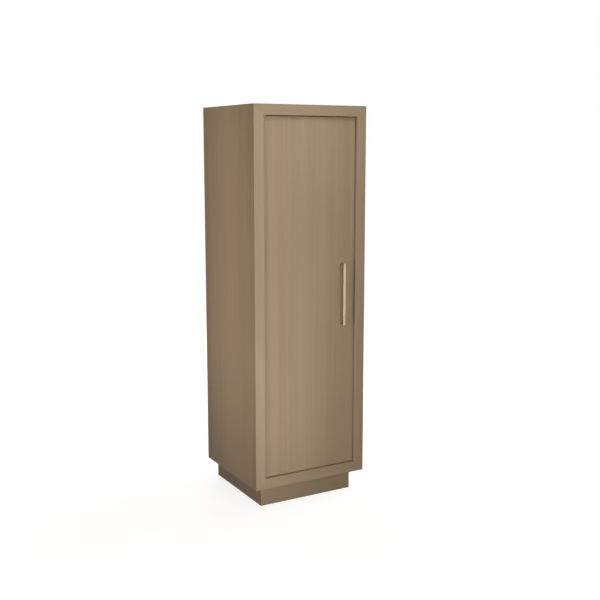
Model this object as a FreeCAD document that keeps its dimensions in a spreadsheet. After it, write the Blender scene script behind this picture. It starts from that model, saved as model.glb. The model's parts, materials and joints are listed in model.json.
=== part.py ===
import FreeCAD, Part
import os
import re
import Sketcher

# Sizes in millimetres, grouped by the piece that carries them
SIZES = {
    # Outer case, with its mitred front frame
    "case_width": 610,
    "case_depth": 559,
    "total_height": 1930,
    "panel_thickness": 19,
    "frame_width": 51,
    "frame_depth": 38,
    "edge_ease": 1.2,
    # Inner walls and the battens behind them
    "liner_thickness": 16,
    "spacer_width": 40,
    # Back panel in its rebates
    "back_thickness": 9,
    "rebate_width": 11,
    "back_fit": 0.3,
    "back_screw_diameter": 3.5,
    "back_screw_head": 7,
    "back_screw_length": 25,
    # Recessed plinth
    "plinth_height": 102,
    "plinth_inset": 51,
    "plinth_back_inset": 10,
    "plinth_board": 19,
    "block_width": 38,
    "block_lift": 14,
    "plinth_screw_diameter": 5,
    "plinth_screw_head": 10,
    "plinth_screw_reach": 14,
    # Shelves and their pins
    "shelf_thickness": 19,
    "shelf_setback": 20,
    "shelf_side_gap": 1.5,
    "shelf_back_gap": 1.5,
    "housing_depth": 5,
    "pin_row_inset": 45,
    "pin_hole_pitch": 32,
    "pin_hole_depth": 10,
    "pin_hole_spare": 1,
    "pin_shank_diameter": 5,
    "pin_tongue_length": 12,
    "pin_tongue_width": 9,
    "pin_tongue_thickness": 3,
    "pin_fit": 0.05,
    # Rail for the wall screws
    "wall_rail_height": 90,
    "wall_rail_thickness": 19,
    "wall_hole_inset": 51,
    "wall_hole_diameter": 7,
    # Door, set back inside the frame
    "door_recess": 15,
    "door_thickness": 22,
    "door_gap": 3,
    # Pivot hinges, let into the rails and the door's ends
    "pivot_edge_inset": 16,
    "pivot_face_inset": 8,
    "leaf_width": 10,
    "leaf_reach": 56,
    "leaf_thickness": 3,
    "leaf_fit": 0.1,
    "hinge_pin_diameter": 5,
    "hinge_pin_nose": 4,
    "running_clearance": 0.05,
    "pin_end_room": 1,
    "washer_diameter": 9.6,
    "hinge_screw_diameter": 3.5,
    "hinge_screw_head": 6.6,
    "hinge_screw_length": 20,
    "hinge_screw_first": 16,
    "hinge_screw_end_inset": 12,
    # Bar pull
    "pull_length": 304,
    "pull_width": 12,
    "pull_thickness": 10,
    "pull_projection": 35,
    "pull_edge_inset": 75,
    "pull_height": 1022,
    "pull_ease": 1,
    "post_width": 11,
    "post_height": 11,
    "post_end_inset": 0.5,
    "pull_screw_diameter": 4,
    "pull_screw_head": 8,
    "pull_screw_head_height": 2.6,
    "pull_screw_reach": 10,
    # Stop that the closed door rests against
    "stop_width": 10,
    "stop_depth": 14,
    "bumper_diameter": 8,
    "bumper_thickness": 2,
    "bumper_clearance": 0.2,
    # Magnetic catch under the top
    "catch_edge_inset": 60,
    "catch_length": 46,
    "catch_depth": 15,
    "catch_wall": 4,
    "catch_end_wall": 10,
    "catch_gap": 0.3,
    "magnet_depth": 11,
    "magnet_height": 5.6,
    "pole_thickness": 1.2,
    "pole_proud": 0.1,
    "catch_screw_diameter": 3,
    "catch_screw_head": 6,
    "catch_screw_head_height": 2,
    "catch_screw_reach": 10,
    "strike_length": 40,
    "strike_height": 14,
    "strike_top_inset": 2,
    "strike_thickness": 1.5,
    "strike_lip": 0.3,
    "strike_screw_diameter": 3,
    "strike_screw_length": 14,
    # Fits shared by all screws, and how far a cutting tool runs past a face
    "screw_clearance": 0.05,
    "cut_overrun": 2,
}

# Places worked out from those sizes: X right, Y back, Z up from the floor
PLACES = {
    "pull_proud": "pull_projection - door_recess",
    "front": "(pull_proud - case_depth) / 2",
    "back": "front + case_depth",
    "inner_back": "back - back_thickness",
    "case_height": "total_height - plinth_height",
    "middle": "plinth_height + case_height / 2",
    "half_width": "case_width / 2",
    "opening_half": "half_width - frame_width",
    "opening_bottom": "plinth_height + frame_width",
    "opening_top": "total_height - frame_width",
    "opening_height": "opening_top - opening_bottom",
    "spacer_thickness": "frame_width - panel_thickness - liner_thickness",
    "spacer_depth_in": "panel_thickness + spacer_thickness",
    "liner_front": "front + frame_depth",
    "liner_depth": "inner_back - liner_front",
    "liner_height": "opening_height + 2 * liner_thickness",
    "liner_low": "opening_bottom - liner_thickness",
    "door_front": "front + door_recess",
    "door_back": "door_front + door_thickness",
    "door_half": "opening_half - door_gap",
    "door_bottom": "opening_bottom + door_gap",
    "door_top": "opening_top - door_gap",
    "door_height": "door_top - door_bottom",
    "pivot_x": "pivot_edge_inset - door_half",
    "pivot_y": "door_front + pivot_face_inset",
    "hinge_screw_pitch": "leaf_reach - hinge_screw_first - hinge_screw_end_inset",
    "pull_x": "door_half - pull_edge_inset",
    "pull_front": "door_front - pull_projection",
    "post_front": "pull_front + pull_thickness",
    "post_rise": "(pull_length - post_height) / 2 - post_end_inset",
    "pin_shank_length": "pin_hole_depth - pin_hole_spare",
    "shelf_front": "liner_front + shelf_setback",
    "shelf_back": "inner_back - shelf_back_gap",
    "stop_front": "door_back + bumper_clearance + bumper_thickness",
    "catch_x": "opening_half - catch_edge_inset",
    "catch_front": "door_back + strike_thickness + catch_gap",
    "catch_screw_y": "catch_front + catch_depth / 2",
    "catch_middle": "door_top - strike_top_inset - strike_height / 2",
    "catch_screw_spacing": "catch_length - catch_end_wall",
    "magnet_length": "catch_length - 2 * catch_end_wall",
    "magnet_stack": "magnet_height + 2 * pole_thickness",
    "catch_bottom": "catch_middle - magnet_stack / 2 - catch_wall",
    "catch_height": "opening_top - catch_bottom",
    "strike_screw_head": "strike_screw_diameter + 2 * (strike_thickness - strike_lip)",
    "plinth_half": "half_width - plinth_inset",
    "plinth_front_y": "front + plinth_inset",
    "plinth_back_y": "back - plinth_back_inset",
    "plinth_width": "2 * plinth_half",
    "plinth_depth": "plinth_back_y - plinth_front_y",
    "block_x": "plinth_half - plinth_board - block_width / 2",
    "block_front_y": "plinth_front_y + plinth_board + block_width / 2",
    "block_back_y": "plinth_back_y - plinth_board - block_width / 2",
    "block_height": "plinth_height - block_lift",
    "plinth_screw_length": "block_height + plinth_screw_reach",
    "pull_screw_length": "door_thickness + pull_screw_reach",
    "catch_screw_length": "catch_height + catch_screw_reach",
    "wall_hole_spacing": "2 * (opening_half - wall_hole_inset)",
    "wall_hole_z": "opening_top - wall_rail_height / 2",
    "back_screw_x": "half_width - panel_thickness + rebate_width / 2",
}

SHELF_COUNT = 5
FIXED_SHELF = 3
PIN_HOLES_PER_ROW = 5
BACK_SCREWS_PER_SIDE = 5
BUMPER_COUNT = 3

# A screw's cross recess, as shares of its head's diameter
RECESS_LENGTH_SHARE = 0.55
RECESS_WIDTH_SHARE = 0.12
RECESS_DEPTH_SHARE = 0.18

# How much of a bumper's width is left at its flat tip
BUMPER_TIP_SHARE = 0.6

# Two coordinates that are closer than this, in millimetres, are the same
SAME_PLACE = 1e-6

# Which way a placed piece's own Z axis points
TURNS = {
    "up": FreeCAD.Rotation(),
    "down": FreeCAD.Rotation(FreeCAD.Vector(1, 0, 0), 180),
    "forward": FreeCAD.Rotation(FreeCAD.Vector(1, 0, 0), 90),
    "left": FreeCAD.Rotation(FreeCAD.Vector(0, 1, 0), -90),
    "about": FreeCAD.Rotation(FreeCAD.Vector(0, 0, 1), 180),
}

doc = FreeCAD.newDocument("tall_storage_cabinet")
nodes = []


def bound(text, own_cells=()):
    """The expression text with every named value pointed at its sheet."""

    def cell(match):
        word = match.group()
        if word in own_cells:
            return word
        if word in SIZES:
            return f"sizes.{word}"
        if word in PLACES:
            return f"places.{word}"
        return word

    return re.sub(r"[a-z_]\w*", cell, text)


def fill_sheet(name, cells):
    """A sheet with one named cell for each entry."""
    sheet = doc.addObject("Spreadsheet::Sheet", name)
    for row, (alias, text) in enumerate(cells.items(), start=1):
        sheet.set(f"A{row}", alias)
        sheet.set(f"B{row}", text)
        sheet.setAlias(f"B{row}", alias)
    doc.recompute()
    return sheet


sizes = fill_sheet("sizes", {alias: str(size) for alias, size in SIZES.items()})
fill_sheet("places", {alias: "=" + bound(text, PLACES) for alias, text in PLACES.items()})


def value(text):
    """What an expression is worth now, for the first drawing of a sketch."""
    return float(sizes.evalExpression(bound(text)))


def put(thing, at, direction="up"):
    """Stands a thing at named coordinates, with its own Z axis in a named direction."""
    thing.Placement = FreeCAD.Placement(FreeCAD.Vector(), TURNS[direction])
    for axis, text in zip("xyz", at):
        thing.setExpression(f"Placement.Base.{axis}", bound(text))
    return thing


def node(thing):
    """Counts a finished thing as one sub-part."""
    nodes.append(thing)
    return thing


def box(label, size, at):
    """A block of size (X, Y, Z) whose lowest corner is at the given place."""
    made = doc.addObject("Part::Box", label)
    for name, text in zip(("Length", "Width", "Height"), size):
        made.setExpression(name, bound(text))
    return put(made, at)


def cylinder(label, diameter, length, at=("0", "0", "0"), direction="up"):
    """A round bar that runs from the given place in a named direction."""
    made = doc.addObject("Part::Cylinder", label)
    made.setExpression("Radius", bound(f"({diameter}) / 2"))
    made.setExpression("Height", bound(length))
    return put(made, at, direction)


def cone(label, first_diameter, last_diameter, length, at):
    """A cone that rises from the given place."""
    made = doc.addObject("Part::Cone", label)
    made.setExpression("Radius1", bound(f"({first_diameter}) / 2"))
    made.setExpression("Radius2", bound(f"({last_diameter}) / 2"))
    made.setExpression("Height", bound(length))
    return put(made, at)


def fuse(label, *things):
    """Things that touch, joined into one solid."""
    made = doc.addObject("Part::MultiFuse", label)
    made.Shapes = list(things)
    return made


def cut(label, base, *tools):
    """The base with every tool taken out of it."""
    made = doc.addObject("Part::Cut", label)
    made.Base = base
    made.Tool = tools[0] if len(tools) == 1 else fuse(f"{label}_tools", *tools)
    return made


def mirror_across(label, source):
    """The right-hand twin of a left-hand piece."""
    made = doc.addObject("Part::Mirroring", label)
    made.Source = source
    made.Normal = FreeCAD.Vector(1, 0, 0)
    return made


def mirror_up(label, source):
    """The upper twin of a lower piece, about the case's middle height."""
    made = doc.addObject("Part::Mirroring", label)
    made.Source = source
    made.Normal = FreeCAD.Vector(0, 0, 1)
    made.setExpression("Base.z", bound("middle"))
    return made


def copies(label, master, spots):
    """A group of separate solids: one copy of master at each (x, y, z, direction)."""
    links = []
    for index, (x, y, z, direction) in enumerate(spots):
        link = doc.addObject("App::Link", f"{label}_{index}")
        link.LinkedObject = master
        links.append(put(link, (x, y, z), direction))
    group = doc.addObject("Part::Compound", label)
    group.Links = links
    return group


def sketch_on(body, role, label, depth="0"):
    """An empty sketch on one of a body's own planes, raised by depth along that plane's normal."""
    sketch = body.newObject("Sketcher::SketchObject", label)
    plane = next(part for part in body.Origin.OriginFeatures if part.Role == role)
    sketch.AttachmentSupport = [(plane, "")]
    sketch.MapMode = "FlatFace"
    sketch.setExpression("AttachmentOffset.Base.z", bound(depth))
    return sketch


def tie(sketch, kind, geometry, point, text):
    """Ties one point of a sketch to a named distance from the sketch's origin."""
    spot = Sketcher.Constraint(kind, -1, 1, geometry, point, value(text))
    sketch.setExpression(f"Constraints[{sketch.addConstraint(spot)}]", bound(text))


def draw_outline(sketch, corners):
    """Draws a closed outline with every corner tied to its named place."""
    first = sketch.GeometryCount
    count = len(corners)
    points = [FreeCAD.Vector(value(u), value(v), 0) for u, v in corners]
    for index in range(count):
        sketch.addGeometry(Part.LineSegment(points[index], points[(index + 1) % count]), False)
    for index in range(count):
        following = first + (index + 1) % count
        sketch.addConstraint(Sketcher.Constraint("Coincident", first + index, 2, following, 1))
    for index, (u, v) in enumerate(corners):
        tie(sketch, "DistanceX", first + index, 1, u)
        tie(sketch, "DistanceY", first + index, 1, v)


def draw_circle(sketch, diameter, u, v):
    """Draws a circle with its centre and size tied to named values."""
    radius = f"({diameter}) / 2"
    centre = FreeCAD.Vector(value(u), value(v), 0)
    circle = sketch.addGeometry(Part.Circle(centre, FreeCAD.Vector(0, 0, 1), value(radius)), False)
    tie(sketch, "DistanceX", circle, 3, u)
    tie(sketch, "DistanceY", circle, 3, v)
    size = Sketcher.Constraint("Radius", circle, value(radius))
    sketch.setExpression(f"Constraints[{sketch.addConstraint(size)}]", bound(radius))


def pad(body, role, corners, length, reverse=False):
    """An outline on one of a body's planes, raised to a solid."""
    sketch = sketch_on(body, role, f"{body.Name}_outline")
    draw_outline(sketch, corners)
    made = body.newObject("PartDesign::Pad", f"{body.Name}_pad")
    made.Profile = sketch
    made.Reversed = reverse
    made.setExpression("Length", bound(length))
    return made


def cut_through(body, role, outlines):
    """Outlines on one of a body's planes, cut right through it both ways."""
    sketch = sketch_on(body, role, f"{body.Name}_section")
    for corners in outlines:
        draw_outline(sketch, corners)
    made = body.newObject("PartDesign::Pocket", f"{body.Name}_bevels")
    made.Profile = sketch
    made.SideType = "Symmetric"
    made.Type = "ThroughAll"
    return made


def front_board(label, corners, depth, at):
    """A board drawn as seen from the front and carried back by its depth."""
    body = doc.addObject("PartDesign::Body", label)
    pad(body, "XZ_Plane", corners, depth, reverse=True)
    return put(body, at)


def rectangle(width, height):
    """The corners of an upright rectangle from a sketch's origin."""
    return [("0", "0"), (width, "0"), (width, height), ("0", height)]


def ease_edges(body, radius, wanted):
    """Rounds those edges of a body's last solid that wanted picks by their middle point."""
    doc.recompute()
    last = body.Tip
    names = [
        f"Edge{index}"
        for index, edge in enumerate(last.Shape.Edges, start=1)
        if wanted(edge.BoundBox.Center)
    ]
    made = body.newObject("PartDesign::Fillet", f"{body.Name}_eased")
    made.Base = (last, names)
    made.setExpression("Radius", bound(radius))


def at_front(point):
    """True for an edge that lies in its body's front face."""
    return abs(point.y) < SAME_PLACE


def in_the_middle(width):
    """Picks the two long edges of a front face of that width."""
    return lambda point: at_front(point) and abs(2 * point.x - width) < SAME_PLACE


# Screws point along their own Z axis, with the head's seat at the origin


def cross_recess(label, kind, top):
    """The cross-shaped room for a screwdriver in a head whose top is at the given height."""
    length = f"{kind}_head * {RECESS_LENGTH_SHARE}"
    width = f"{kind}_head * {RECESS_WIDTH_SHARE}"
    depth = f"{kind}_head * {RECESS_DEPTH_SHARE} + cut_overrun"
    low = f"{top} - cut_overrun"
    return fuse(
        label,
        box(f"{label}_bar", (length, width, depth), (f"-{length} / 2", f"-{width} / 2", low)),
        box(f"{label}_arm", (width, length, depth), (f"-{width} / 2", f"-{length} / 2", low)),
    )


def countersunk_screw(label, kind):
    """A wood screw with a flat head, a plain shank and a point."""
    shank = f"{kind}_diameter"
    head_depth = f"({kind}_head - {shank}) / 2"
    point_start = f"{kind}_length - {shank}"
    blank = fuse(
        f"{label}_turned",
        cone(f"{label}_head", f"{kind}_head", shank, head_depth, ("0", "0", "0")),
        cylinder(f"{label}_shank", shank, f"{point_start} - {head_depth}", ("0", "0", head_depth)),
        cone(f"{label}_point", shank, "0", shank, ("0", "0", point_start)),
    )
    return cut(label, blank, cross_recess(f"{label}_recess", kind, "0"))


def countersunk_hole(label, kind):
    """The room that a flat-headed wood screw takes, with its clearance."""
    shank = f"{kind}_diameter + 2 * screw_clearance"
    head = f"{kind}_head + 2 * screw_clearance"
    head_depth = f"({kind}_head - {kind}_diameter) / 2"
    bore_length = f"{kind}_length + screw_clearance - {head_depth}"
    return fuse(
        label,
        cylinder(f"{label}_mouth", head, "cut_overrun", ("0", "0", "-cut_overrun")),
        cone(f"{label}_sink", head, shank, head_depth, ("0", "0", "0")),
        cylinder(f"{label}_bore", shank, bore_length, ("0", "0", head_depth)),
    )


def pan_screw(label, kind):
    """A screw whose low round head stands on the surface."""
    head_height = f"{kind}_head_height"
    blank = fuse(
        f"{label}_turned",
        cylinder(f"{label}_head", f"{kind}_head", head_height, ("0", "0", f"-{head_height}")),
        cylinder(f"{label}_shank", f"{kind}_diameter", f"{kind}_length"),
    )
    return cut(label, blank, cross_recess(f"{label}_recess", kind, f"-{head_height}"))


def pan_hole(label, kind):
    """The room that a pan-headed screw's shank takes, with its clearance."""
    shank = f"{kind}_diameter + 2 * screw_clearance"
    return fuse(
        label,
        cylinder(f"{label}_mouth", shank, "cut_overrun", ("0", "0", "-cut_overrun")),
        cylinder(f"{label}_bore", shank, f"{kind}_length + screw_clearance"),
    )


def make_sides():
    """Side panels, mitred to the top, the bottom and the front frame, with a rebate for the back."""
    board = front_board(
        "left_side_board",
        [
            ("0", "edge_ease"),
            ("edge_ease / 2", "edge_ease / 2"),
            ("panel_thickness", "panel_thickness"),
            ("panel_thickness", "case_height - panel_thickness"),
            ("edge_ease / 2", "case_height - edge_ease / 2"),
            ("0", "case_height - edge_ease"),
        ],
        "case_depth",
        ("-half_width", "front", "plinth_height"),
    )
    mitre = [
        ("-cut_overrun", "-cut_overrun"),
        ("-cut_overrun", "edge_ease"),
        ("0", "edge_ease"),
        ("edge_ease / 2", "edge_ease / 2"),
        ("panel_thickness", "panel_thickness"),
        ("panel_thickness + cut_overrun", "panel_thickness"),
        ("panel_thickness + cut_overrun", "-cut_overrun"),
    ]
    rebate = [
        ("panel_thickness - rebate_width", "case_depth - back_thickness"),
        ("panel_thickness + cut_overrun", "case_depth - back_thickness"),
        ("panel_thickness + cut_overrun", "case_depth + cut_overrun"),
        ("panel_thickness - rebate_width", "case_depth + cut_overrun"),
    ]
    cut_through(board, "XY_Plane", [mitre, rebate])
    pilots = copies("left_side_pilots", back_screw_hole, back_screw_spots("-back_screw_x"))
    left = node(cut("left_side_panel", board, pilots))
    node(mirror_across("right_side_panel", left))


def back_screw_spots(x):
    """Where the back panel's screws go, up one side."""
    spots = []
    for index in range(BACK_SCREWS_PER_SIDE):
        height = f"plinth_height + case_height * ({index} + 1 / 2) / {BACK_SCREWS_PER_SIDE}"
        spots.append((x, "back", height, "forward"))
    return spots


def make_top_and_bottom():
    """Bottom and top panels, mitred to the sides and the rails, with the same rebate."""
    board = front_board(
        "bottom_board",
        [
            ("edge_ease", "0"),
            ("case_width - edge_ease", "0"),
            ("case_width - edge_ease / 2", "edge_ease / 2"),
            ("case_width - panel_thickness", "panel_thickness"),
            ("panel_thickness", "panel_thickness"),
            ("edge_ease / 2", "edge_ease / 2"),
        ],
        "case_depth",
        ("-half_width", "front", "plinth_height"),
    )
    mitre = [
        ("-cut_overrun", "-cut_overrun"),
        ("edge_ease", "-cut_overrun"),
        ("edge_ease", "0"),
        ("edge_ease / 2", "edge_ease / 2"),
        ("panel_thickness", "panel_thickness"),
        ("panel_thickness", "panel_thickness + cut_overrun"),
        ("-cut_overrun", "panel_thickness + cut_overrun"),
    ]
    rebate = [
        ("case_depth - back_thickness", "panel_thickness - rebate_width"),
        ("case_depth + cut_overrun", "panel_thickness - rebate_width"),
        ("case_depth + cut_overrun", "panel_thickness + cut_overrun"),
        ("case_depth - back_thickness", "panel_thickness + cut_overrun"),
    ]
    cut_through(board, "YZ_Plane", [mitre, rebate])
    node(mirror_up("top_panel", board))
    pilots = copies("bottom_pilots", plinth_screw_hole, plinth_spots("block_lift"))
    node(cut("bottom_panel", board, pilots))


def make_stiles():
    """Upright members of the front frame, mitred at both ends and along the outer edge."""
    stile = front_board(
        "left_stile",
        [
            ("0", "0"),
            ("frame_width", "frame_width"),
            ("frame_width", "case_height - frame_width"),
            ("0", "case_height"),
        ],
        "frame_depth",
        ("-half_width", "front", "plinth_height"),
    )
    outer_mitre = [
        ("-cut_overrun", "-cut_overrun"),
        ("edge_ease", "-cut_overrun"),
        ("edge_ease", "0"),
        ("edge_ease / 2", "edge_ease / 2"),
        ("panel_thickness", "panel_thickness"),
        ("panel_thickness", "frame_depth + cut_overrun"),
        ("-cut_overrun", "frame_depth + cut_overrun"),
    ]
    inner_ease = [
        ("frame_width - edge_ease", "0"),
        ("frame_width - edge_ease", "-cut_overrun"),
        ("frame_width + cut_overrun", "-cut_overrun"),
        ("frame_width + cut_overrun", "edge_ease"),
        ("frame_width", "edge_ease"),
    ]
    cut_through(stile, "XY_Plane", [outer_mitre, inner_ease])
    node(stile)
    node(mirror_across("right_stile", stile))


def make_rails():
    """Level members of the front frame, with the case leaves of the hinges let into them."""
    board = front_board(
        "bottom_rail_board",
        [
            ("0", "0"),
            ("case_width", "0"),
            ("case_width - frame_width", "frame_width"),
            ("frame_width", "frame_width"),
        ],
        "frame_depth",
        ("-half_width", "front", "plinth_height"),
    )
    outer_mitre = [
        ("-cut_overrun", "-cut_overrun"),
        ("-cut_overrun", "edge_ease"),
        ("0", "edge_ease"),
        ("edge_ease / 2", "edge_ease / 2"),
        ("panel_thickness", "panel_thickness"),
        ("frame_depth + cut_overrun", "panel_thickness"),
        ("frame_depth + cut_overrun", "-cut_overrun"),
    ]
    inner_ease = [
        ("0", "frame_width - edge_ease"),
        ("-cut_overrun", "frame_width - edge_ease"),
        ("-cut_overrun", "frame_width + cut_overrun"),
        ("edge_ease", "frame_width + cut_overrun"),
        ("edge_ease", "frame_width"),
    ]
    cut_through(board, "YZ_Plane", [outer_mitre, inner_ease])
    leaf_low = "opening_bottom - leaf_thickness"
    mortise = leaf_blank("rail_mortise", leaf_low, "leaf_thickness + cut_overrun", "leaf_fit")
    pilots = copies("rail_pilots", hinge_screw_hole, hinge_screw_spots("opening_bottom", "down"))
    bottom = node(cut("bottom_rail", board, mortise, pilots))
    catch_pilots = copies("top_rail_pilots", catch_screw_hole, catch_screw_spots)
    node(cut("top_rail", mirror_up("top_rail_board", bottom), catch_pilots))


def make_back():
    """Back panel, screwed into the side panels' rebates and drilled for the wall screws."""
    overlap = "2 * (rebate_width - back_fit)"
    panel = box(
        "back_board",
        (
            f"case_width - 2 * panel_thickness + {overlap}",
            "back_thickness",
            f"case_height - 2 * panel_thickness + {overlap}",
        ),
        (
            "panel_thickness - rebate_width + back_fit - half_width",
            "inner_back",
            "plinth_height + panel_thickness - rebate_width + back_fit",
        ),
    )
    spots = back_screw_spots("-back_screw_x") + back_screw_spots("back_screw_x")
    holes = copies("back_screw_holes", back_screw_hole, spots)
    node(cut("back_panel", panel, holes, wall_holes))
    node(copies("back_screws", countersunk_screw("back_screw", "back_screw"), spots))


def make_wall_rail():
    """Rail under the top that takes the screws into a wall."""
    rail = box(
        "wall_rail_board",
        ("2 * opening_half", "wall_rail_thickness", "wall_rail_height"),
        ("-opening_half", "inner_back - wall_rail_thickness", "opening_top - wall_rail_height"),
    )
    node(cut("wall_fixing_rail", rail, wall_holes))


def shelf_bottom(index):
    """Height of the underside of a shelf, counted from 1 at the bottom, with equal spaces between."""
    space = f"(opening_height - {SHELF_COUNT} * shelf_thickness) / {SHELF_COUNT + 1}"
    return f"opening_bottom + {index} * ({space}) + ({index} - 1) * shelf_thickness"


def loose_shelves():
    """The numbers of the shelves that rest on pins."""
    return [index for index in range(1, SHELF_COUNT + 1) if index != FIXED_SHELF]


def pin_height(index):
    """Height of the centre of the pins under a shelf."""
    return f"{shelf_bottom(index)} - pin_shank_diameter / 2"


def make_liners():
    """Inner side walls, with rows of pin holes and a housing for the fixed shelf."""
    body = doc.addObject("PartDesign::Body", "left_liner")
    pad(body, "YZ_Plane", rectangle("liner_depth", "liner_height"), "liner_thickness")
    housing = sketch_on(body, "YZ_Plane", "left_liner_housing", "liner_thickness")
    low = f"{shelf_bottom(FIXED_SHELF)} - liner_low"
    draw_outline(
        housing,
        [
            ("shelf_setback", low),
            ("liner_depth + cut_overrun", low),
            ("liner_depth + cut_overrun", f"{low} + shelf_thickness"),
            ("shelf_setback", f"{low} + shelf_thickness"),
        ],
    )
    groove = body.newObject("PartDesign::Pocket", "left_liner_groove")
    groove.Profile = housing
    groove.setExpression("Length", bound("housing_depth"))
    for index in loose_shelves():
        holes = sketch_on(body, "YZ_Plane", f"left_liner_holes_{index}", "liner_thickness")
        lowest = f"{pin_height(index)} - liner_low - pin_hole_pitch * {PIN_HOLES_PER_ROW - 1} / 2"
        for row in (front_pin_row, back_pin_row):
            draw_circle(holes, "pin_shank_diameter + 2 * pin_fit", f"{row} - liner_front", lowest)
        bore = body.newObject("PartDesign::Pocket", f"left_liner_bore_{index}")
        bore.Profile = holes
        bore.setExpression("Length", bound("pin_hole_depth"))
        column = body.newObject("PartDesign::LinearPattern", f"left_liner_column_{index}")
        column.Originals = [bore]
        column.Direction = (holes, ["V_Axis"])
        column.setExpression("Length", bound(f"pin_hole_pitch * {PIN_HOLES_PER_ROW - 1}"))
        column.Occurrences = PIN_HOLES_PER_ROW
        body.Tip = column
    node(put(body, ("-half_width + spacer_depth_in", "liner_front", "liner_low")))
    node(mirror_across("right_liner", body))


def make_liner_ends():
    """Inner floor and ceiling, between the inner side walls."""
    size = ("2 * opening_half", "liner_depth", "liner_thickness")
    node(box("liner_bottom", size, ("-opening_half", "liner_front", "liner_low")))
    ceiling = box("liner_top_board", size, ("-opening_half", "liner_front", "opening_top"))
    pilots = copies("liner_top_pilots", catch_screw_hole, catch_screw_spots)
    node(cut("liner_top", ceiling, pilots))


def make_spacers():
    """Battens that hold the inner walls off the outer panels."""
    rows = ("liner_front", "(liner_front + inner_back - spacer_width) / 2", "inner_back - spacer_width")
    corner = ("0", "0", "0")
    upright = box(
        "side_spacer",
        ("spacer_thickness", "spacer_width", "case_height - 2 * panel_thickness"),
        corner,
    )
    level = box(
        "bottom_spacer",
        ("case_width - 2 * spacer_depth_in", "spacer_width", "spacer_thickness"),
        corner,
    )
    low = "plinth_height + panel_thickness"
    side_spots = [("panel_thickness - half_width", y, low, "up") for y in rows]
    left = node(copies("left_spacers", upright, side_spots))
    node(mirror_across("right_spacers", left))
    bottom_spots = [("spacer_depth_in - half_width", y, low, "up") for y in rows]
    bottom = node(copies("bottom_spacers", level, bottom_spots))
    node(mirror_up("top_spacers", bottom))


def make_shelves():
    """The fixed middle shelf and the loose shelves, each with an eased front edge."""
    for index in range(1, SHELF_COUNT + 1):
        fixed = index == FIXED_SHELF
        label = "fixed_shelf" if fixed else f"shelf_{loose_shelves().index(index) + 1}"
        half = "(opening_half + housing_depth)" if fixed else "(opening_half - shelf_side_gap)"
        rear = "inner_back" if fixed else "shelf_back"
        shelf = front_board(
            label,
            rectangle(f"2 * {half}", "shelf_thickness"),
            f"{rear} - shelf_front",
            (f"-{half}", "shelf_front", shelf_bottom(index)),
        )
        ease_edges(shelf, "edge_ease", in_the_middle(value(f"2 * {half}")))
        node(shelf)


def make_shelf_pins():
    """Shelf pins: a round shank in the wall and a flat tongue under the shelf."""
    pin = fuse(
        "shelf_pin",
        cylinder(
            "shelf_pin_shank",
            "pin_shank_diameter",
            "pin_shank_length",
            ("0", "0", "-pin_shank_diameter / 2"),
            "left",
        ),
        box(
            "shelf_pin_tongue",
            ("pin_tongue_length", "pin_tongue_width", "pin_tongue_thickness"),
            ("0", "-pin_tongue_width / 2", "-pin_tongue_thickness"),
        ),
    )
    spots = []
    for index in loose_shelves():
        for row in (front_pin_row, back_pin_row):
            spots.append(("-opening_half", row, shelf_bottom(index), "up"))
            spots.append(("opening_half", row, shelf_bottom(index), "about"))
    node(copies("shelf_pins", pin, spots))


def plinth_board(label, corners, at):
    """A plinth board drawn in plan and raised to the plinth's height."""
    body = doc.addObject("PartDesign::Body", label)
    pad(body, "XY_Plane", corners, "plinth_height")
    return node(put(body, at))


def plinth_spots(height):
    """The middle of each corner block, at one height, for screws that point up."""
    spots = []
    for x in ("-block_x", "block_x"):
        for y in ("block_front_y", "block_back_y"):
            spots.append((x, y, height, "up"))
    return spots


def make_plinth():
    """Four boards mitred at the corners, with screwed blocks inside."""
    plinth_board(
        "plinth_front",
        [
            ("0", "0"),
            ("plinth_width", "0"),
            ("plinth_width - plinth_board", "plinth_board"),
            ("plinth_board", "plinth_board"),
        ],
        ("-plinth_half", "plinth_front_y", "0"),
    )
    plinth_board(
        "plinth_back",
        [
            ("plinth_board", "0"),
            ("plinth_width - plinth_board", "0"),
            ("plinth_width", "plinth_board"),
            ("0", "plinth_board"),
        ],
        ("-plinth_half", "plinth_back_y - plinth_board", "0"),
    )
    left = plinth_board(
        "plinth_left",
        [
            ("0", "0"),
            ("plinth_board", "plinth_board"),
            ("plinth_board", "plinth_depth - plinth_board"),
            ("0", "plinth_depth"),
        ],
        ("-plinth_half", "plinth_front_y", "0"),
    )
    node(mirror_across("plinth_right", left))
    blank = box(
        "corner_block_blank",
        ("block_width", "block_width", "block_height"),
        ("-block_width / 2", "-block_width / 2", "0"),
    )
    block = cut("corner_block", blank, plinth_screw_hole)
    node(copies("plinth_corner_blocks", block, plinth_spots("block_lift")))
    screw = countersunk_screw("plinth_screw", "plinth_screw")
    node(copies("plinth_screws", screw, plinth_spots("block_lift")))


def leaf_blank(label, low, height, grow="0"):
    """A hinge leaf's outline with round ends, from the pivot along the door's width, at one height."""
    width = f"(leaf_width + 2 * {grow})"
    far_x = "pivot_x + leaf_reach - leaf_width / 2"
    return fuse(
        label,
        cylinder(f"{label}_pivot_end", width, height, ("pivot_x", "pivot_y", low)),
        cylinder(f"{label}_far_end", width, height, (far_x, "pivot_y", low)),
        box(
            f"{label}_bar",
            ("leaf_reach - leaf_width / 2", width, height),
            ("pivot_x", f"pivot_y - {width} / 2", low),
        ),
    )


def hinge_screw_spots(height, direction):
    """Where the two screws of a hinge leaf go."""
    spots = []
    for index in range(2):
        x = f"pivot_x + hinge_screw_first + {index} * hinge_screw_pitch"
        spots.append((x, "pivot_y", height, direction))
    return spots


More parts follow.
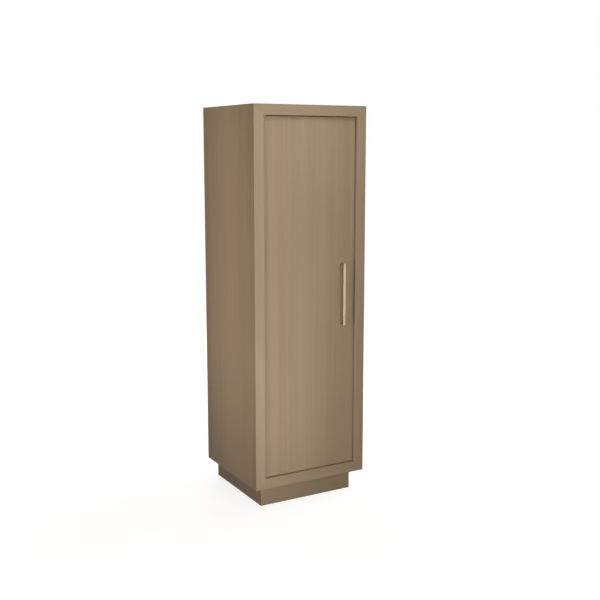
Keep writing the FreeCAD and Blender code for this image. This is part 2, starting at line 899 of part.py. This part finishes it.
def make_hinges():
    """Two pivot hinges: leaf, pin and washer on the case, and a leaf on the door."""
    running_bore = "hinge_pin_diameter + 2 * running_clearance"
    clear_pin = cylinder(
        "hinge_pin_room",
        running_bore,
        "2 * leaf_thickness + door_gap + 2 * cut_overrun",
        ("pivot_x", "pivot_y", "opening_bottom - leaf_thickness - cut_overrun"),
    )
    case_blank = leaf_blank("case_leaf_blank", "opening_bottom - leaf_thickness", "leaf_thickness")
    case_holes = copies("case_leaf_holes", hinge_screw_hole, hinge_screw_spots("opening_bottom", "down"))
    case_leaf = node(cut("hinge_lower_case_leaf", case_blank, clear_pin, case_holes))
    door_blank = leaf_blank("door_leaf_blank", "door_bottom", "leaf_thickness")
    door_holes = copies("door_leaf_holes", hinge_screw_hole, hinge_screw_spots("door_bottom", "up"))
    door_leaf = node(cut("hinge_lower_door_leaf", door_blank, clear_pin, door_holes))
    pin_length = "2 * leaf_thickness + door_gap + hinge_pin_nose / 2"
    pin_low = "opening_bottom - leaf_thickness"
    pin = node(
        fuse(
            "hinge_lower_pin",
            cylinder("hinge_pin_bar", "hinge_pin_diameter", pin_length, ("pivot_x", "pivot_y", pin_low)),
            cone(
                "hinge_pin_tip",
                "hinge_pin_diameter",
                "hinge_pin_diameter / 2",
                "hinge_pin_nose / 2",
                ("pivot_x", "pivot_y", f"{pin_low} + {pin_length}"),
            ),
        )
    )
    ring = cylinder(
        "washer_blank",
        "washer_diameter",
        "door_gap - running_clearance",
        ("pivot_x", "pivot_y", "opening_bottom"),
    )
    washer = node(cut("hinge_lower_washer", ring, clear_pin))
    node(mirror_up("hinge_upper_case_leaf", case_leaf))
    node(mirror_up("hinge_upper_door_leaf", door_leaf))
    node(mirror_up("hinge_upper_pin", pin))
    node(mirror_up("hinge_upper_washer", washer))
    screw = countersunk_screw("hinge_screw", "hinge_screw")
    case_spots = hinge_screw_spots("opening_bottom", "down") + hinge_screw_spots("opening_top", "up")
    door_spots = hinge_screw_spots("door_bottom", "up") + hinge_screw_spots("door_top", "down")
    node(copies("hinge_case_screws", screw, case_spots))
    node(copies("hinge_door_screws", screw, door_spots))


def make_door():
    """The slab door, let in for its hinge leaves and drilled for its pull and strike plate."""
    slab = front_board(
        "door_slab",
        rectangle("2 * door_half", "door_height"),
        "door_thickness",
        ("-door_half", "door_front", "door_bottom"),
    )
    ease_edges(slab, "edge_ease", at_front)
    leaf_low = "door_bottom - cut_overrun"
    mortise = leaf_blank("door_mortise", leaf_low, "leaf_thickness + cut_overrun", "leaf_fit")
    pilots = copies("door_hinge_pilots", hinge_screw_hole, hinge_screw_spots("door_bottom", "up"))
    pin_room = cylinder(
        "door_pin_room",
        "hinge_pin_diameter + 2 * pin_end_room",
        "leaf_thickness + hinge_pin_nose + pin_end_room",
        ("pivot_x", "pivot_y", "door_bottom"),
    )
    lower = fuse("door_lower_cuts", mortise, pilots, pin_room)
    upper = mirror_up("door_upper_cuts", lower)
    pull_holes = copies("door_pull_holes", pull_screw_hole, pull_screw_spots)
    strike_pilot = copies("door_strike_pilot", strike_screw_hole, strike_spot)
    node(cut("door_panel", slab, lower, upper, pull_holes, strike_pilot))


def make_pull():
    """Bar pull on two posts, screwed from behind the door."""
    bar = front_board(
        "pull_bar",
        rectangle("pull_width", "pull_length"),
        "pull_thickness",
        ("pull_x - pull_width / 2", "pull_front", "pull_height - pull_length / 2"),
    )
    ease_edges(bar, "pull_ease", lambda point: True)
    node(bar)
    for label, sign in (("pull_post_upper", "+"), ("pull_post_lower", "-")):
        blank = box(
            f"{label}_blank",
            ("post_width", "door_front - post_front", "post_height"),
            ("pull_x - post_width / 2", "post_front", f"pull_height {sign} post_rise - post_height / 2"),
        )
        tapped = copies(f"{label}_holes", pull_screw_hole, pull_screw_spots)
        node(cut(label, blank, tapped))
    node(copies("pull_screws", pan_screw("pull_screw", "pull_screw"), pull_screw_spots))


def make_stop():
    """Strip on the latch side with soft bumpers, which the closed door meets."""
    node(
        box(
            "door_stop_strip",
            ("stop_width", "stop_depth", "opening_height"),
            ("opening_half - stop_width", "stop_front", "opening_bottom"),
        )
    )
    tip = f"bumper_diameter * {BUMPER_TIP_SHARE}"
    bumper = cone("bumper", "bumper_diameter", tip, "bumper_thickness", ("0", "0", "0"))
    spots = []
    for index in range(BUMPER_COUNT):
        height = f"opening_bottom + opening_height * ({index} + 1 / 2) / {BUMPER_COUNT}"
        spots.append(("opening_half - stop_width / 2", "stop_front", height, "forward"))
    node(copies("door_bumpers", bumper, spots))


def make_catch():
    """Magnetic catch: a housing with a magnet between two steel plates, and its strike plate."""
    shell = box(
        "catch_shell",
        ("catch_length", "catch_depth", "catch_height"),
        ("catch_x - catch_length / 2", "catch_front", "catch_bottom"),
    )
    magnet_left = "catch_x - magnet_length / 2"
    stack_bottom = "catch_middle - magnet_stack / 2"
    cavity = box(
        "catch_cavity",
        ("magnet_length", "magnet_depth + cut_overrun", "magnet_stack"),
        (magnet_left, "catch_front - cut_overrun", stack_bottom),
    )
    holes = copies("catch_screw_holes", catch_screw_hole, catch_screw_spots)
    node(cut("catch_housing", shell, cavity, holes))
    node(
        box(
            "catch_magnet",
            ("magnet_length", "magnet_depth", "magnet_height"),
            (magnet_left, "catch_front", "catch_middle - magnet_height / 2"),
        )
    )
    plate = box(
        "pole_plate",
        ("magnet_length", "magnet_depth + pole_proud", "pole_thickness"),
        ("0", "0", "0"),
    )
    plate_spots = [
        (magnet_left, "catch_front - pole_proud", height, "up")
        for height in ("catch_middle + magnet_height / 2", stack_bottom)
    ]
    node(copies("catch_pole_plates", plate, plate_spots))
    node(copies("catch_screws", pan_screw("catch_screw", "catch_screw"), catch_screw_spots))
    strike = box(
        "strike_blank",
        ("strike_length", "strike_thickness", "strike_height"),
        ("catch_x - strike_length / 2", "door_back", "catch_middle - strike_height / 2"),
    )
    node(cut("strike_plate", strike, copies("strike_hole", strike_screw_hole, strike_spot)))
    node(copies("strike_screw", countersunk_screw("strike_screw_blank", "strike_screw"), strike_spot))


def write_parts():
    """Checks every object, then writes one file for each sub-part."""
    doc.recompute()
    for thing in doc.Objects:
        if {"Invalid", "Error"} & set(thing.State):
            raise RuntimeError(f"{thing.Label} failed: {thing.State}")
    for thing in nodes:
        if thing.Shape.isNull() or not thing.Shape.isValid() or not thing.Shape.Solids:
            raise RuntimeError(f"{thing.Label} has no valid shape")
    os.makedirs("parts", exist_ok=True)
    for thing in nodes:
        thing.Shape.exportStep(f"parts/{thing.Label}.step")
    print(f"wrote {len(nodes)} sub-parts")


# Places and cutting shapes that more than one piece shares
front_pin_row = "shelf_front + pin_row_inset"
back_pin_row = "shelf_back - pin_row_inset"
back_screw_hole = countersunk_hole("back_screw_hole", "back_screw")
plinth_screw_hole = countersunk_hole("plinth_screw_hole", "plinth_screw")
hinge_screw_hole = countersunk_hole("hinge_screw_hole", "hinge_screw")
strike_screw_hole = countersunk_hole("strike_screw_hole", "strike_screw")
pull_screw_hole = pan_hole("pull_screw_hole", "pull_screw")
catch_screw_hole = pan_hole("catch_screw_hole", "catch_screw")
strike_spot = [("catch_x", "door_back + strike_thickness", "catch_middle", "forward")]
pull_screw_spots = [
    ("pull_x", "door_back", f"pull_height {sign} post_rise", "forward") for sign in "+-"
]
catch_screw_spots = [
    (f"catch_x {sign} catch_screw_spacing / 2", "catch_screw_y", "catch_bottom", "up") for sign in "+-"
]
wall_hole_length = "wall_rail_thickness + back_thickness + 2 * cut_overrun"
wall_hole = cylinder("wall_hole", "wall_hole_diameter", wall_hole_length)
wall_holes = copies(
    "wall_holes",
    wall_hole,
    [
        (f"{sign}wall_hole_spacing / 2", "back + cut_overrun", "wall_hole_z", "forward")
        for sign in ("-", "")
    ],
)

make_sides()
make_top_and_bottom()
make_stiles()
make_rails()
make_back()
make_wall_rail()
make_liners()
make_liner_ends()
make_spacers()
make_shelves()
make_shelf_pins()
make_plinth()
make_hinges()
make_door()
make_pull()
make_stop()
make_catch()
write_parts()
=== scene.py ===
import bpy
import json
import math
from collections import namedtuple
from mathutils import Euler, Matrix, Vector


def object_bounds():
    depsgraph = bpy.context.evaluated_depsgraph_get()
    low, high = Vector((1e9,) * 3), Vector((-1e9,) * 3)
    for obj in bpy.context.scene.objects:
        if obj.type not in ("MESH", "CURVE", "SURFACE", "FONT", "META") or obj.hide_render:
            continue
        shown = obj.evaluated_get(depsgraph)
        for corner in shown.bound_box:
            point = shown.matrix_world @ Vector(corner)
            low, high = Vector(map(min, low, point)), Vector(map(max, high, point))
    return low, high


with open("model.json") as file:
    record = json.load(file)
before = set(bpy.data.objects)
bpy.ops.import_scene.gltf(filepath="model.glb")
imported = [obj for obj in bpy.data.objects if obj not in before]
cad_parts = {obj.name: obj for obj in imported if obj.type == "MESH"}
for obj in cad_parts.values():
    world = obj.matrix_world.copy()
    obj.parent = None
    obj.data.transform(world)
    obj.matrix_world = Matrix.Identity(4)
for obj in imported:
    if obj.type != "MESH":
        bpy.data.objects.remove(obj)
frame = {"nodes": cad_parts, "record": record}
cad_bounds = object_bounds()

# The photo is a square of this many pixels, taken from the front left at about eye height
IMAGE_WIDTH = 600
SENSOR_WIDTH = 36.0
CAMERA_PLACE = (-2.199, -4.008, 1.739)
CAMERA_YAW = math.radians(29.73)
CAMERA_PITCH = math.radians(8.60)
FOCAL_PIXELS = 914.1
CAMERA_SHIFT = -0.026

# Colours of the wood, from its dark lines to its pale ones
STAIN = [
    (0.00, (0.220, 0.150, 0.090)),
    (0.35, (0.310, 0.226, 0.143)),
    (0.65, (0.365, 0.275, 0.180)),
    (1.00, (0.440, 0.342, 0.235)),
]
PLYWOOD = [
    (0.00, (0.250, 0.168, 0.095)),
    (0.40, (0.350, 0.255, 0.158)),
    (1.00, (0.450, 0.345, 0.225)),
]
SOFTWOOD = [
    (0.00, (0.420, 0.270, 0.130)),
    (0.50, (0.560, 0.410, 0.230)),
    (1.00, (0.660, 0.520, 0.330)),
]
UNTINTED = (1.0, 1.0, 1.0)

# A layer of noise: cycles in a metre across and along the grain, octaves, and the weight of the fine ones
Layer = namedtuple("Layer", "cycles octaves fineness", defaults=(0.5,))

# The layers of the grain, from wide bands down to pores, and slow clouds over them
BANDS = Layer((13.0, 0.30), 3.0, 0.55)
LINES = Layer((105.0, 0.85), 4.0, 0.62)
FIBRES = Layer((620.0, 9.0), 2.0)
PORES = Layer((1500.0, 42.0), 1.0)
CLOUDS = Layer((5.0, 2.2), 2.0)

# How much each layer counts in the colour
BAND_SHARE = 0.38
LINE_SHARE = 0.43
FIBRE_SHARE = 0.16
CLOUD_SHARE = 0.22
PORE_SHARE = 0.16

# How much painted shade darkens the side panels at their front and back edges, against their middle
EDGE_SHADE_SHARE = 0.26

# A pore starts to show at the first level of its noise and is full at the second
PORE_LEVELS = (0.60, 0.72)

# What lines and pores add to the roughness, and to a relief that starts from the fibres
LINE_ROUGHNESS = 0.10
PORE_ROUGHNESS = 0.12
LINE_RELIEF = 0.4
PORE_RELIEF = -0.6
WOOD_RELIEF = {"Strength": 0.35, "Distance": 0.00012}

# A satin lacquer that has sunk into the wood reflects little
WOOD_SPECULAR = 0.12

# How far along each axis the noise moves from one piece of wood to the next
SEED_STEP = (3.17, 5.31, 1.93)

# The way the grain runs on each piece of wood where it isn't upright
GRAIN_AXES = {
    "top_panel": "X",
    "bottom_panel": "X",
    "top_rail": "X",
    "bottom_rail": "X",
    "liner_top": "X",
    "liner_bottom": "X",
    "fixed_shelf": "X",
    "shelf_1": "X",
    "shelf_2": "X",
    "shelf_3": "X",
    "shelf_4": "X",
    "wall_fixing_rail": "X",
    "top_spacers": "X",
    "bottom_spacers": "X",
    "plinth_front": "X",
    "plinth_back": "X",
    "plinth_left": "Y",
    "plinth_right": "Y",
}

# The sides are cut from browner leaves of veneer than the front and carry painted shade that darkens them
# further, and the plinth's sides carry painted shade from the overhang above them
SIDE_TINT_AND_SHADE = (0.79, 0.745, 0.655)
# Painted shade under the overhang darkens the plinth's sides
PLINTH_SIDE_SHADE = (0.62, 0.56, 0.52)
LEAF_TINTS_AND_SHADE = {
    "left_side_panel": SIDE_TINT_AND_SHADE,
    "right_side_panel": SIDE_TINT_AND_SHADE,
    "plinth_left": PLINTH_SIDE_SHADE,
    "plinth_right": PLINTH_SIDE_SHADE,
}

# Pieces that get painted shade, darker from their middle towards their front and back edges
EDGE_SHADED_PANELS = ("left_side_panel", "right_side_panel")

# Brushed metal: its brush lines, the smudges of handling and what they add to colour and roughness
BRUSHING = Layer((2600.0, 14.0), 3.0, 0.6)
BRUSHING_OFFSET = (0.3, 0.7, 0.1)
SMUDGE_CYCLES = (38.0, 38.0, 22.0)
SMUDGE_OFFSET = (2.1, 0.4, 1.3)
SMUDGE_OCTAVES = 3.0
SMUDGE_SHARE = 0.7
BRUSHING_SHARE = 0.3
DULL_METAL_SHARE = 0.86
METAL_STOPS = (0.25, 0.75)
BRUSHING_ROUGHNESS = 0.14
SMUDGE_ROUGHNESS = 0.08
METAL_RELIEF = {"Strength": 0.12, "Distance": 0.00005}

# Moulded pieces: the grain of their surface, slow clouds and what they add to colour and roughness
MOULD_GRAIN_SIZE = 0.0006
MOULD_GRAIN_OFFSET = (0.5, 0.2, 0.9)
MOULD_CLOUD_CYCLES = 90.0
MOULD_CLOUD_OFFSET = (1.5, 0.6, 0.2)
MOULD_OCTAVES = 2.0
MOULD_GRAIN_SHARE = 0.4
MOULD_CLOUD_SHARE = 0.6
PALE_MOULD_SHARE = 1.18
DARK_MOULD_SHARE = 0.84
MOULD_STOPS = (0.2, 0.8)
MOULD_ROUGHNESS = 0.16
MOULD_RELIEF = {"Strength": 0.25, "Distance": 0.00008}


def add_node(tree, kind, sockets=None, **settings):
    """Adds a node; sockets maps an input to a value or to the output that feeds it."""
    made = tree.nodes.new(kind)
    for name, setting in settings.items():
        setattr(made, name, setting)
    for name, source in (sockets or {}).items():
        if isinstance(source, bpy.types.NodeSocket):
            tree.links.new(source, made.inputs[name])
        else:
            made.inputs[name].default_value = source
    return made


def new_material(name):
    """An empty material with a shader, and its node tree."""
    material = bpy.data.materials.new(name)
    material.use_nodes = True
    tree = material.node_tree
    tree.nodes.clear()
    shader = add_node(tree, "ShaderNodeBsdfPrincipled")
    output = add_node(tree, "ShaderNodeOutputMaterial")
    tree.links.new(shader.outputs["BSDF"], output.inputs["Surface"])
    return material, tree, shader


def stretched_noise(tree, cycles, offset, octaves, fineness=0.5):
    """Noise with its own number of cycles in a metre along each axis of the piece."""
    place = add_node(tree, "ShaderNodeTexCoord").outputs["Object"]
    mapping = add_node(
        tree,
        "ShaderNodeMapping",
        {"Vector": place, "Scale": cycles, "Location": offset},
    )
    noise = add_node(
        tree,
        "ShaderNodeTexNoise",
        {"Vector": mapping.outputs["Vector"], "Scale": 1.0, "Detail": octaves, "Roughness": fineness},
    )
    return noise.outputs["Fac"]


def grain_noise(tree, layer, axis, offset):
    """The noise of one layer, with the grain along the given axis."""
    across, along = layer.cycles
    cycles = tuple(along if letter == axis else across for letter in "XYZ")
    return stretched_noise(tree, cycles, offset, layer.octaves, layer.fineness)


def rescale(tree, source, low, high, to_low, to_high):
    """Carries a value from one range to another, held inside it."""
    made = add_node(
        tree,
        "ShaderNodeMapRange",
        {"Value": source, "From Min": low, "From Max": high, "To Min": to_low, "To Max": to_high},
    )
    return made.outputs["Result"]


def add_up(tree, terms, start):
    """start plus each (value, weight) term."""
    total = start
    for source, weight in terms:
        sockets = {0: source, 1: weight, 2: total}
        step = add_node(tree, "ShaderNodeMath", sockets, operation="MULTIPLY_ADD")
        total = step.outputs["Value"]
    return total


def colour_ramp(tree, source, stops, tint=UNTINTED):
    """Turns a value into a colour by (position, colour) stops."""
    ramp = add_node(tree, "ShaderNodeValToRGB", {"Fac": source})
    elements = ramp.color_ramp.elements
    while len(elements) < len(stops):
        elements.new(1.0)
    for element, (position, colour) in zip(elements, stops):
        element.position = position
        element.color = (*(part * share for part, share in zip(colour, tint)), 1.0)
    return ramp.outputs["Color"]


def roughen(tree, shader, middle, parts):
    """Roughness round a middle value, from (noise, amount) parts that are evenly above and below it."""
    spread = sum(amount for noise, amount in parts)
    tree.links.new(add_up(tree, parts, middle - spread / 2), shader.inputs["Roughness"])


def emboss(tree, shader, height, relief):
    """A fine relief on the surface."""
    bump = add_node(tree, "ShaderNodeBump", {"Height": height, **relief})
    tree.links.new(bump.outputs["Normal"], shader.inputs["Normal"])


def towards_edges(tree, middle, half_depth):
    """0 along the middle line of an upright panel and 1 at its front and back edges."""
    place = add_node(tree, "ShaderNodeTexCoord").outputs["Object"]
    depth = add_node(tree, "ShaderNodeSeparateXYZ", {"Vector": place}).outputs["Y"]
    across = add_up(tree, [(depth, 1.0 / half_depth)], -middle / half_depth)
    squared = add_node(tree, "ShaderNodeMath", {0: across, 1: across}, operation="MULTIPLY")
    return squared.outputs["Value"]


def wood(name, axis, seed, stops, tint, gloss, edge_shade=None):
    """Straight-grained wood: wide soft bands, fine lines, fibres, pores and slow clouds."""
    material, tree, shader = new_material(name)
    offset = tuple(seed * step for step in SEED_STEP)
    bands = grain_noise(tree, BANDS, axis, offset)
    lines = grain_noise(tree, LINES, axis, offset)
    fibres = grain_noise(tree, FIBRES, axis, offset)
    pores = grain_noise(tree, PORES, axis, offset)
    clouds = grain_noise(tree, CLOUDS, axis, offset)
    pore_marks = rescale(tree, pores, *PORE_LEVELS, 0.0, 1.0)
    # Noise averages a half, and the start keeps the sum of the layers there too
    shares = (BAND_SHARE, LINE_SHARE, FIBRE_SHARE, CLOUD_SHARE)
    terms = list(zip((bands, lines, fibres, clouds), shares))
    grain = add_up(tree, terms, 0.5 - sum(shares) / 2)
    marked = add_up(tree, [(pore_marks, -PORE_SHARE)], grain)
    # Painted shade: darker towards the front and back edges of the side panels
    if edge_shade:
        marked = add_up(tree, [(towards_edges(tree, *edge_shade), -EDGE_SHADE_SHARE)], marked)
    tree.links.new(colour_ramp(tree, marked, stops, tint), shader.inputs["Base Color"])
    roughness_terms = [(lines, LINE_ROUGHNESS), (pore_marks, PORE_ROUGHNESS)]
    roughness = add_up(tree, roughness_terms, gloss - LINE_ROUGHNESS / 2)
    tree.links.new(roughness, shader.inputs["Roughness"])
    relief_terms = [(lines, LINE_RELIEF), (pore_marks, PORE_RELIEF)]
    emboss(tree, shader, add_up(tree, relief_terms, fibres), WOOD_RELIEF)
    shader.inputs["Specular IOR Level"].default_value = WOOD_SPECULAR
    return material


def metal(name, colour, roughness, axis="Z"):
    """Satin metal, brushed along one axis, with faint changes of colour where it is handled."""
    material, tree, shader = new_material(name)
    brushing = grain_noise(tree, BRUSHING, axis, BRUSHING_OFFSET)
    smudges = stretched_noise(tree, SMUDGE_CYCLES, SMUDGE_OFFSET, SMUDGE_OCTAVES)
    shade = add_up(tree, [(smudges, SMUDGE_SHARE), (brushing, BRUSHING_SHARE)], 0.0)
    dull = tuple(part * DULL_METAL_SHARE for part in colour)
    stops = list(zip(METAL_STOPS, (dull, colour)))
    tree.links.new(colour_ramp(tree, shade, stops), shader.inputs["Base Color"])
    shader.inputs["Metallic"].default_value = 1.0
    roughen(tree, shader, roughness, [(brushing, BRUSHING_ROUGHNESS), (smudges, SMUDGE_ROUGHNESS)])
    emboss(tree, shader, brushing, METAL_RELIEF)
    return material


def moulded(name, colour, roughness):
    """Moulded plastic, rubber or fired ceramic with a fine surface grain."""
    material, tree, shader = new_material(name)
    grain = stretched_noise(tree, (1.0 / MOULD_GRAIN_SIZE,) * 3, MOULD_GRAIN_OFFSET, MOULD_OCTAVES)
    clouds = stretched_noise(tree, (MOULD_CLOUD_CYCLES,) * 3, MOULD_CLOUD_OFFSET, MOULD_OCTAVES)
    shade = add_up(tree, [(grain, MOULD_GRAIN_SHARE), (clouds, MOULD_CLOUD_SHARE)], 0.0)
    pale = tuple(min(1.0, part * PALE_MOULD_SHARE) for part in colour)
    dark = tuple(part * DARK_MOULD_SHARE for part in colour)
    stops = list(zip(MOULD_STOPS, (dark, pale)))
    tree.links.new(colour_ramp(tree, shade, stops), shader.inputs["Base Color"])
    roughen(tree, shader, roughness, [(grain, MOULD_ROUGHNESS)])
    emboss(tree, shader, grain, MOULD_RELIEF)
    return material


# Each record slot of wood: its stops, tint and roughness
WOOD_SLOTS = {
    "case_veneer": (STAIN, UNTINTED, 0.44),
    "door_veneer": (STAIN, UNTINTED, 0.44),
    "plinth_veneer": (STAIN, (0.94, 0.93, 0.92), 0.46),
    "inner_veneer": (STAIN, (1.06, 1.06, 1.05), 0.52),
    "back_board": (PLYWOOD, UNTINTED, 0.56),
    "core_wood": (SOFTWOOD, UNTINTED, 0.62),
}

# Each other record slot: its material, with its colour and roughness
OTHER_SLOTS = {
    "satin_brass": metal("satin_brass", (0.55, 0.455, 0.325), 0.30),
    "hinge_brass": metal("hinge_brass", (0.66, 0.50, 0.26), 0.34, "X"),
    "screw_steel": metal("screw_steel", (0.62, 0.62, 0.60), 0.36),
    "washer_nylon": moulded("washer_nylon", (0.72, 0.70, 0.64), 0.45),
    "bumper_rubber": moulded("bumper_rubber", (0.045, 0.040, 0.036), 0.70),
    "catch_plastic": moulded("catch_plastic", (0.100, 0.060, 0.034), 0.42),
    "magnet_ferrite": moulded("magnet_ferrite", (0.030, 0.030, 0.033), 0.60),
}


def leaf_edges(mesh):
    """The middle of a panel from front to back, and half its depth."""
    depths = [vertex.co.y for vertex in mesh.vertices]
    return (max(depths) + min(depths)) / 2, (max(depths) - min(depths)) / 2


def dress_nodes():
    """Gives every piece the material of its slot, with a stretch of grain of its own on wood."""
    for seed, row in enumerate(frame["record"]["subparts"], start=1):
        piece = row["node"]
        slot = row["material_slot"]
        mesh = frame["nodes"][piece].data
        if slot in WOOD_SLOTS:
            stops, tint, gloss = WOOD_SLOTS[slot]
            # The side panels and the plinth's sides take tints that hold painted shade
            tint = LEAF_TINTS_AND_SHADE.get(piece, tint)
            axis = GRAIN_AXES.get(piece, "Z")
            # The side panels get painted shade towards their front and back edges
            edge_shade = leaf_edges(mesh) if piece in EDGE_SHADED_PANELS else None
            material = wood(f"{piece}_{slot}", axis, seed, stops, tint, gloss, edge_shade)
        else:
            material = OTHER_SLOTS[slot]
        mesh.materials.clear()
        mesh.materials.append(material)


def seen_rays(tree):
    """1 for rays that show a surface in the picture or in a reflection, 0 for rays that light it."""
    path = add_node(tree, "ShaderNodeLightPath").outputs
    seen = path["Is Camera Ray"]
    for ray in ("Is Glossy Ray", "Is Transmission Ray"):
        either = add_node(tree, "ShaderNodeMath", {0: seen, 1: path[ray]}, operation="MAXIMUM")
        seen = either.outputs["Value"]
    return seen


# The floor lies just under the plinth, and its glow rises to white between the two distances
FLOOR_HALF = 40.0
FLOOR_DROP = 0.0004
FLOOR_PAINT = (0.26, 0.26, 0.26, 1.0)
FLOOR_GLOW = 0.84
NEAR_FLOOR = 0.8
FAR_FLOOR = 2.6

# The even light of the room
ROOM_LEVEL = 0.18
ROOM_COLOUR = (1.0, 0.95, 0.87, 1.0)
ROOM_SEEN = (1.0, 1.0, 1.0, 1.0)


def make_floor():
    """A plain white floor that takes a soft shadow near the cabinet and is lit evenly farther out."""
    corners = [(-1, -1), (1, -1), (1, 1), (-1, 1)]
    mesh = bpy.data.meshes.new("floor")
    mesh.from_pydata(
        [(x * FLOOR_HALF, y * FLOOR_HALF, -FLOOR_DROP) for x, y in corners], [], [(0, 1, 2, 3)]
    )
    floor = bpy.data.objects.new("floor", mesh)
    bpy.context.scene.collection.objects.link(floor)
    material = bpy.data.materials.new("white_floor")
    material.use_nodes = True
    tree = material.node_tree
    tree.nodes.clear()
    paint = add_node(tree, "ShaderNodeBsdfDiffuse", {"Color": FLOOR_PAINT})
    place = add_node(tree, "ShaderNodeTexCoord").outputs["Object"]
    reach = add_node(tree, "ShaderNodeVectorMath", {0: place}, operation="LENGTH").outputs["Value"]
    glow_here = rescale(tree, reach, NEAR_FLOOR, FAR_FLOOR, FLOOR_GLOW, 1.0)
    strength = add_node(tree, "ShaderNodeMath", {0: seen_rays(tree), 1: glow_here}, operation="MULTIPLY")
    glow = add_node(tree, "ShaderNodeEmission", {"Strength": strength.outputs["Value"]})
    both = add_node(tree, "ShaderNodeAddShader", {0: paint.outputs["BSDF"], 1: glow.outputs["Emission"]})
    add_node(tree, "ShaderNodeOutputMaterial", {"Surface": both.outputs["Shader"]})
    mesh.materials.append(material)


def make_room():
    """White all round where the picture or a reflection shows it, and an even room light."""
    world = bpy.data.worlds.new("white_room")
    world.use_nodes = True
    tree = world.node_tree
    tree.nodes.clear()
    lit = add_node(tree, "ShaderNodeBackground", {"Color": ROOM_COLOUR, "Strength": ROOM_LEVEL})
    seen = add_node(tree, "ShaderNodeBackground", {"Color": ROOM_SEEN, "Strength": 1.0})
    backgrounds = {1: lit.outputs["Background"], 2: seen.outputs["Background"]}
    either = add_node(tree, "ShaderNodeMixShader", {"Fac": seen_rays(tree), **backgrounds})
    add_node(tree, "ShaderNodeOutputWorld", {"Surface": either.outputs["Shader"]})
    bpy.context.scene.world = world


WHITE = (1.0, 1.0, 1.0)
WARM = (1.0, 0.88, 0.70)
COOL = (0.95, 0.98, 1.0)

# How wide a lamp's light fans out
WIDE = math.pi
NARROW = math.radians(60)
TIGHT = math.radians(40)
BEAM = math.radians(24)

# How far outside the cabinet's left edge, and inside its right one, some of the lamps point
LEFT_MARGIN = 0.045
RIGHT_MARGIN = 0.035

# Where the lamps point
LOW_CORNER, HIGH_CORNER = cad_bounds
LEFT = LOW_CORNER.x
FRONT = LOW_CORNER.y
BESIDE_LEFT = LEFT - LEFT_MARGIN
INSIDE_RIGHT = HIGH_CORNER.x - RIGHT_MARGIN
MIDDLE = (LOW_CORNER + HIGH_CORNER) / 2

# A soft lamp of size (width, height) that lights a white card at its target to the given level
Lamp = namedtuple("Lamp", "place target size level colour spread", defaults=(WHITE, WIDE))

# A tall key lamp before the front's left edge, lamps round it for the shades, and fills on the far sides
LAMPS = {
    "key_lamp": Lamp((-0.75, -1.4, 1.25), (BESIDE_LEFT, FRONT, 1.25), (0.4, 2.4), 1.26, COOL, NARROW),
    "low_lamp": Lamp((-0.6, -2.0, 0.45), (BESIDE_LEFT, FRONT, 0.35), (0.5, 0.8), 0.31, WHITE, NARROW),
    "grazing_lamp": Lamp((-1.75, -1.0, 1.0), (INSIDE_RIGHT, FRONT, 1.0), (0.2, 2.0), 0.48, WHITE, NARROW),
    "overhead_lamp": Lamp((0.0, -1.15, 3.1), (0.0, FRONT, 1.75), (0.6, 0.4), 0.54, COOL, NARROW),
    "high_lamp": Lamp((1.6, -2.4, 2.6), (0.25, FRONT, 1.8), (0.6, 0.6), 0.17, WHITE, TIGHT),
    "front_lamp": Lamp((-0.1, -2.6, 1.15), (0.1, FRONT, 1.0), (0.4, 0.4), 0.16),
    "left_lamp": Lamp((-2.9, -1.6, 1.7), (LEFT, FRONT, 1.2), (1.0, 2.0), 0.10, WARM),
    "left_back_lamp": Lamp((-2.4, 1.3, 1.45), (LEFT, 0.10, 1.3), (0.3, 1.9), 1.20, WARM, BEAM),
    "right_fill": Lamp((3.4, 0.3, 2.0), MIDDLE, (2.0, 2.0), 0.42),
    "back_fill": Lamp((1.3, 3.6, 2.2), MIDDLE, (2.0, 2.0), 0.50),
}


def make_lamp(name, lamp):
    """Hangs one lamp, with the power that gives its level at its target."""
    light = bpy.data.lights.new(name, "AREA")
    light.shape = "RECTANGLE"
    light.size, light.size_y = lamp.size
    light.spread = lamp.spread
    light.color = lamp.colour
    reach = Vector(lamp.target) - Vector(lamp.place)
    half = lamp.spread / 2
    gain = 1.0 if lamp.spread == WIDE else math.tan(half) / (math.tan(half) - half)
    light.energy = lamp.level * 4 * math.pi * reach.length_squared / gain
    holder = bpy.data.objects.new(name, light)
    holder.location = lamp.place
    holder.rotation_euler = reach.to_track_quat("-Z", "Y").to_euler()
    holder.visible_camera = False
    bpy.context.scene.collection.objects.link(holder)


def make_camera():
    """A camera at the photo's viewing angle, tilted down where the photo's is level."""
    camera = bpy.data.cameras.new("camera")
    camera.sensor_width = SENSOR_WIDTH
    camera.lens = FOCAL_PIXELS / IMAGE_WIDTH * SENSOR_WIDTH
    camera.shift_y = CAMERA_SHIFT
    holder = bpy.data.objects.new("camera", camera)
    holder.location = CAMERA_PLACE
    holder.rotation_euler = Euler((math.pi / 2 - CAMERA_PITCH, 0.0, -CAMERA_YAW))
    bpy.context.scene.collection.objects.link(holder)
    bpy.context.scene.camera = holder


dress_nodes()
make_floor()
make_room()
for lamp_name, lamp_row in LAMPS.items():
    make_lamp(lamp_name, lamp_row)
make_camera()
bpy.context.scene.view_settings.view_transform = "Standard"
